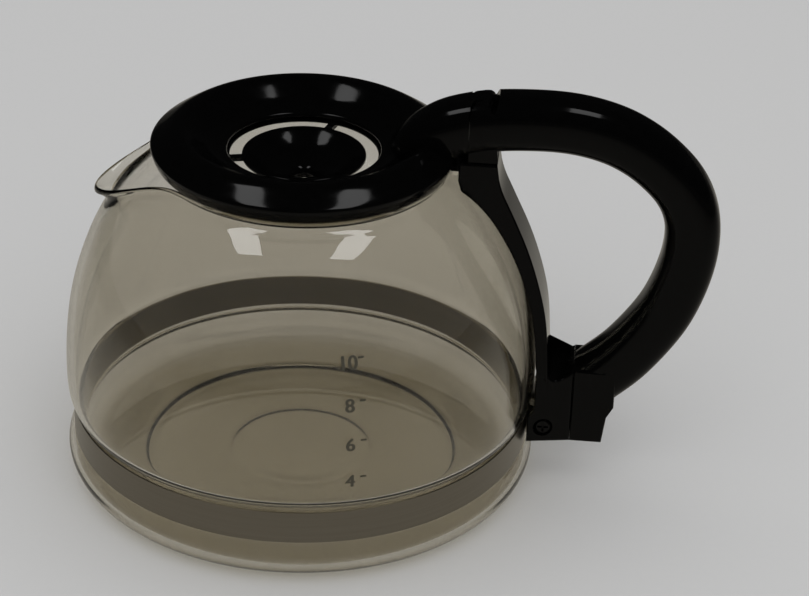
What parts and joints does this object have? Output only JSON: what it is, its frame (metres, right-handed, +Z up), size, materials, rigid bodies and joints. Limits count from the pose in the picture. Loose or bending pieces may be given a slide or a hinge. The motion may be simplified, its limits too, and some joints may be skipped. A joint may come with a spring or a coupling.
{
  "type": "coffee carafe",
  "caption": "Glass jug of a drip coffee machine with pulled spout, steel clamp band, black loop handle and hinged black lid with a drip funnel.",
  "frame": {"origin": "centre of the jug's flat foot, on the table", "axes": "+X from the jug's axis toward the handle, so the spout points to -X; +Z up along the jug's axis"},
  "size_m": [0.2093, 0.1542, 0.1372],
  "materials": {
    "clear_glass": "clear blown heat-proof glass with a faint warm grey tint, smooth",
    "black_plastic": "black heat-proof moulding, glossy",
    "band_steel": "rolled strip, satin, dull grey",
    "screw_steel": "blackened steel, satin"
  },
  "bodies": {
    "jug": {"glass_jug": "clear_glass", "clamp_band": "band_steel", "band_screw": "screw_steel", "band_nut": "screw_steel", "handle_bracket": "black_plastic", "handle_grip": "black_plastic", "top_screw": "screw_steel", "foot_screw": "screw_steel", "hinge_pin": "screw_steel"},
    "lid": {"lid_cap": "black_plastic", "lid_funnel": "black_plastic", "lid_liner": "black_plastic"}
  },
  "joints": [
    {"name": "lid_hinge", "type": "hinge", "parent": "jug", "child": "lid", "pos_m": [0.0555, 0, 0.1316], "axis": [0, 1, 0], "range_deg": [0, 90]}
  ]
}
